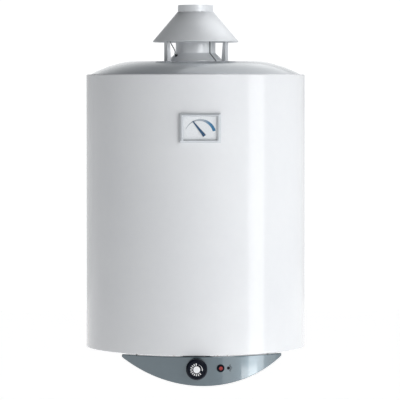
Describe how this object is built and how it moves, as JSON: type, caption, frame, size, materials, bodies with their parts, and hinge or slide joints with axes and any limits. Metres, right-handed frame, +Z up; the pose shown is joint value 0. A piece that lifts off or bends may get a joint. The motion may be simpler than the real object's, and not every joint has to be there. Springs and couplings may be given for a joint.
{
  "type": "tank water heater",
  "caption": "Wall-hung gas storage water heater: round enamelled casing, domed cover with draught hood, front thermometer, curved control panel with knob and ignition button.",
  "frame": {"origin": "on the wall plane, midway between the two upper hook slots", "axes": "+X to the right of a person facing the heater, -Y into the room, +Y into the wall, +Z up"},
  "size_m": [0.4949, 0.5331, 0.8364],
  "materials": {
    "white_enamel": "glossy stove enamel",
    "grey_cover": "satin light-grey enamel",
    "hood_sheet": "satin light-grey coated sheet",
    "galvanised": "galvanised sheet",
    "steel_fixings": "zinc-plated",
    "foam": "rigid foam with an open grain",
    "tank_enamel": "dark blue vitreous enamel",
    "heat_steel": "heat-stained stainless steel",
    "brass": "machined brass",
    "copper": "drawn copper",
    "tube_steel": "plated steel tube",
    "white_ceramic": "glazed ceramic",
    "lead_sleeve": "silicone sleeve",
    "die_cast": "die-cast, satin",
    "black_plastic": "polished black",
    "white_print": "white print",
    "black_print": "black print",
    "silver_panel": "silver-blue metallic plastic",
    "red_plastic": "polished red",
    "blue_plastic": "polished blue",
    "anode_metal": "cast magnesium, grey",
    "black_rubber": "moulded rubber",
    "dark_capillary": "dark coated tube",
    "frame_plastic": "light-grey moulded plastic",
    "dial_card": "printed dial plate",
    "scale_print": "grey to blue print",
    "needle_paint": "dark blue paint",
    "clear_window": "clear polished window"
  },
  "bodies": {
    "heater": {"outer_casing": "white_enamel", "top_cover": "grey_cover", "bottom_cover": "galvanised", "insulation_jacket": "foam", "top_insulation": "foam", "inner_tank": "tank_enamel", "flue_tube": "tank_enamel", "flue_baffle": "heat_steel", "combustion_chamber": "galvanised", "burner_tray": "galvanised", "burner": "heat_steel", "venturi": "heat_steel", "injector": "brass", "burner_gas_pipe": "brass", "pilot_bracket": "galvanised", "pilot_burner": "brass", "pilot_pipe": "tube_steel", "ignition_electrode": "white_ceramic", "ignition_lead": "lead_sleeve", "thermocouple": "copper", "gas_valve": "die_cast", "valve_bracket": "galvanised", "gas_inlet": "brass", "control_panel": "silver_panel", "panel_screws": "steel_fixings", "spark_symbol": "black_print", "piezo_igniter": "black_plastic", "igniter_nut": "black_plastic", "button_spring": "steel_fixings", "thermostat_bulb": "copper", "cold_inlet": "tube_steel", "hot_outlet": "tube_steel", "cold_ring": "blue_plastic", "hot_ring": "red_plastic", "anode_rod": "anode_metal", "anode_flange": "steel_fixings", "anode_gasket": "black_rubber", "wall_bracket_upper": "galvanised", "wall_bracket_lower": "galvanised", "bracket_screws": "steel_fixings", "flue_pipe": "hood_sheet", "hood_legs": "hood_sheet", "hood_skirt": "hood_sheet", "hood_collar": "hood_sheet", "spill_sensor": "die_cast", "sensor_capillary": "dark_capillary", "sensor_grommet": "black_rubber", "thermometer_frame": "frame_plastic", "thermometer_dial": "dial_card", "scale_arc": "scale_print", "thermometer_stem": "brass", "thermometer_pocket": "tank_enamel", "thermometer_window": "clear_window"},
    "spindle_push": {"push_sleeve": "brass"},
    "knob": {"control_knob": "black_plastic", "knob_marks": "white_print", "valve_spindle": "steel_fixings"},
    "button": {"piezo_button": "red_plastic"},
    "needle": {"thermometer_needle": "needle_paint"}
  },
  "joints": [
    {"name": "knob_push", "type": "slide", "parent": "heater", "child": "spindle_push", "axis": [0.0304, 0.9995, 0], "range_m": [0, 0.003], "stiffness_N_per_m": 1200},
    {"name": "knob_turn", "type": "hinge", "parent": "spindle_push", "child": "knob", "pos_m": [-0.00759, -0.51238, -0.508], "axis": [-0.0304, -0.9995, 0], "range_deg": [0, 270]},
    {"name": "button_push", "type": "slide", "parent": "heater", "child": "button", "axis": [-0.1822, 0.9833, 0], "range_m": [0, 0.004], "stiffness_N_per_m": 800, "deforming": ["button_spring"]},
    {"name": "needle_turn", "type": "hinge", "parent": "heater", "child": "needle", "pos_m": [0.0083, -0.5115, 0.0023], "axis": [0, -1, 0], "range_deg": [-86, 36]}
  ]
}
